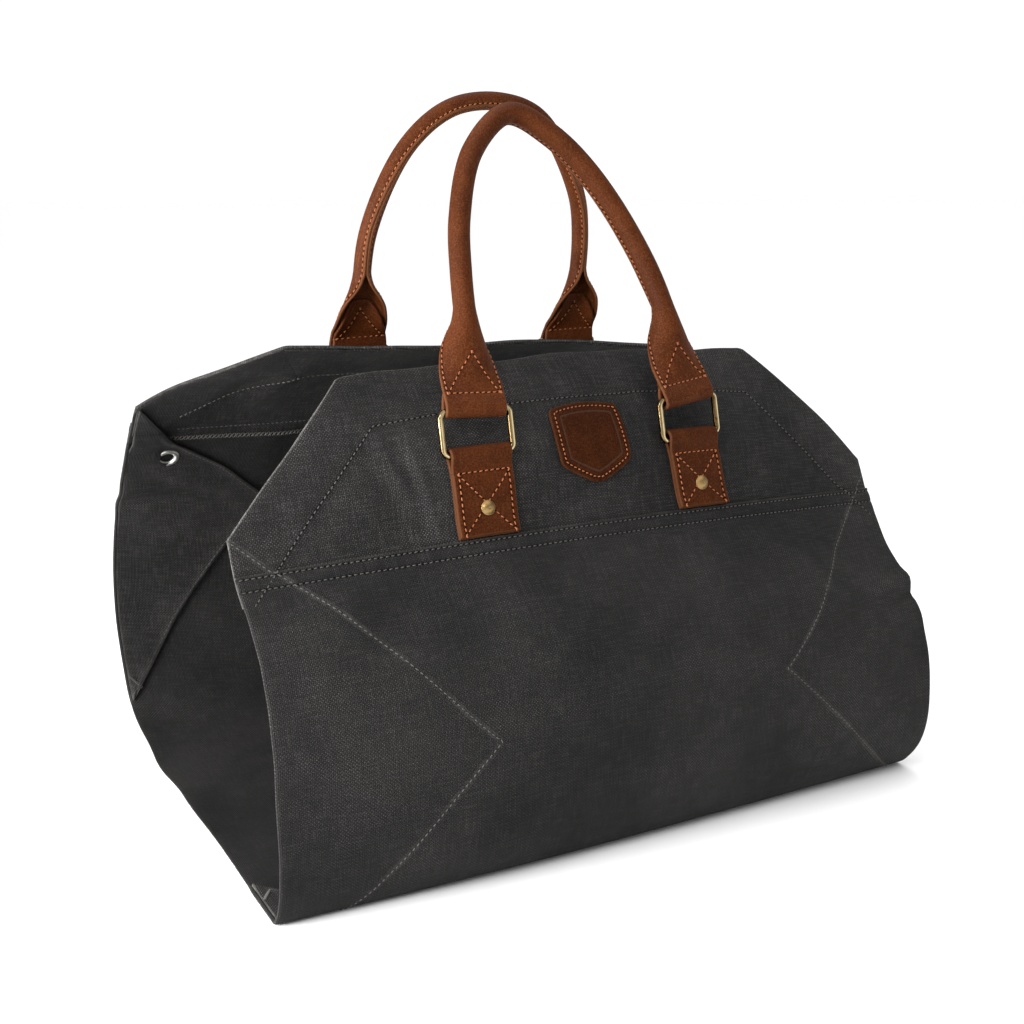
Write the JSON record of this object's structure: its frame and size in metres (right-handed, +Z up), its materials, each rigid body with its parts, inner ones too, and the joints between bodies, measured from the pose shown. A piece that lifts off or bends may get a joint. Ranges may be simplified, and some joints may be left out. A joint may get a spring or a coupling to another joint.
{
  "type": "log carrier",
  "caption": "Waxed canvas log carrier: an open-ended sling that stands on its base, with tapered yokes, sewn turn-ins, leather tabs on brass rings and rolled leather handles.",
  "frame": {"origin": "centre of the bounding box, on the floor under the base", "axes": "+X along the carried wood, the front with the patch faces -Y, +Z up"},
  "size_m": [0.457, 0.3739, 0.4547],
  "materials": {
    "canvas": "charcoal waxed cotton duck with rubbed wax marks",
    "leather": "oiled saddle brown leather with tan thread",
    "brass": "antiqued brass",
    "nickel": "worn nickel plate"
  },
  "bodies": {
    "root": {"body_panel": "canvas", "front_yoke": "canvas", "back_yoke": "canvas", "flap_front_left": "canvas", "eyelet_front_left": "nickel", "tab_front_left": "leather", "rivet_front_left": "brass", "ring_front_left": "brass", "flap_front_right": "canvas", "eyelet_front_right": "nickel", "tab_front_right": "leather", "rivet_front_right": "brass", "ring_front_right": "brass", "flap_back_left": "canvas", "eyelet_back_left": "nickel", "tab_back_left": "leather", "rivet_back_left": "brass", "ring_back_left": "brass", "flap_back_right": "canvas", "eyelet_back_right": "nickel", "tab_back_right": "leather", "rivet_back_right": "brass", "ring_back_right": "brass", "handle_front": "leather", "handle_back": "leather", "patch": "leather"}
  },
  "joints": []
}
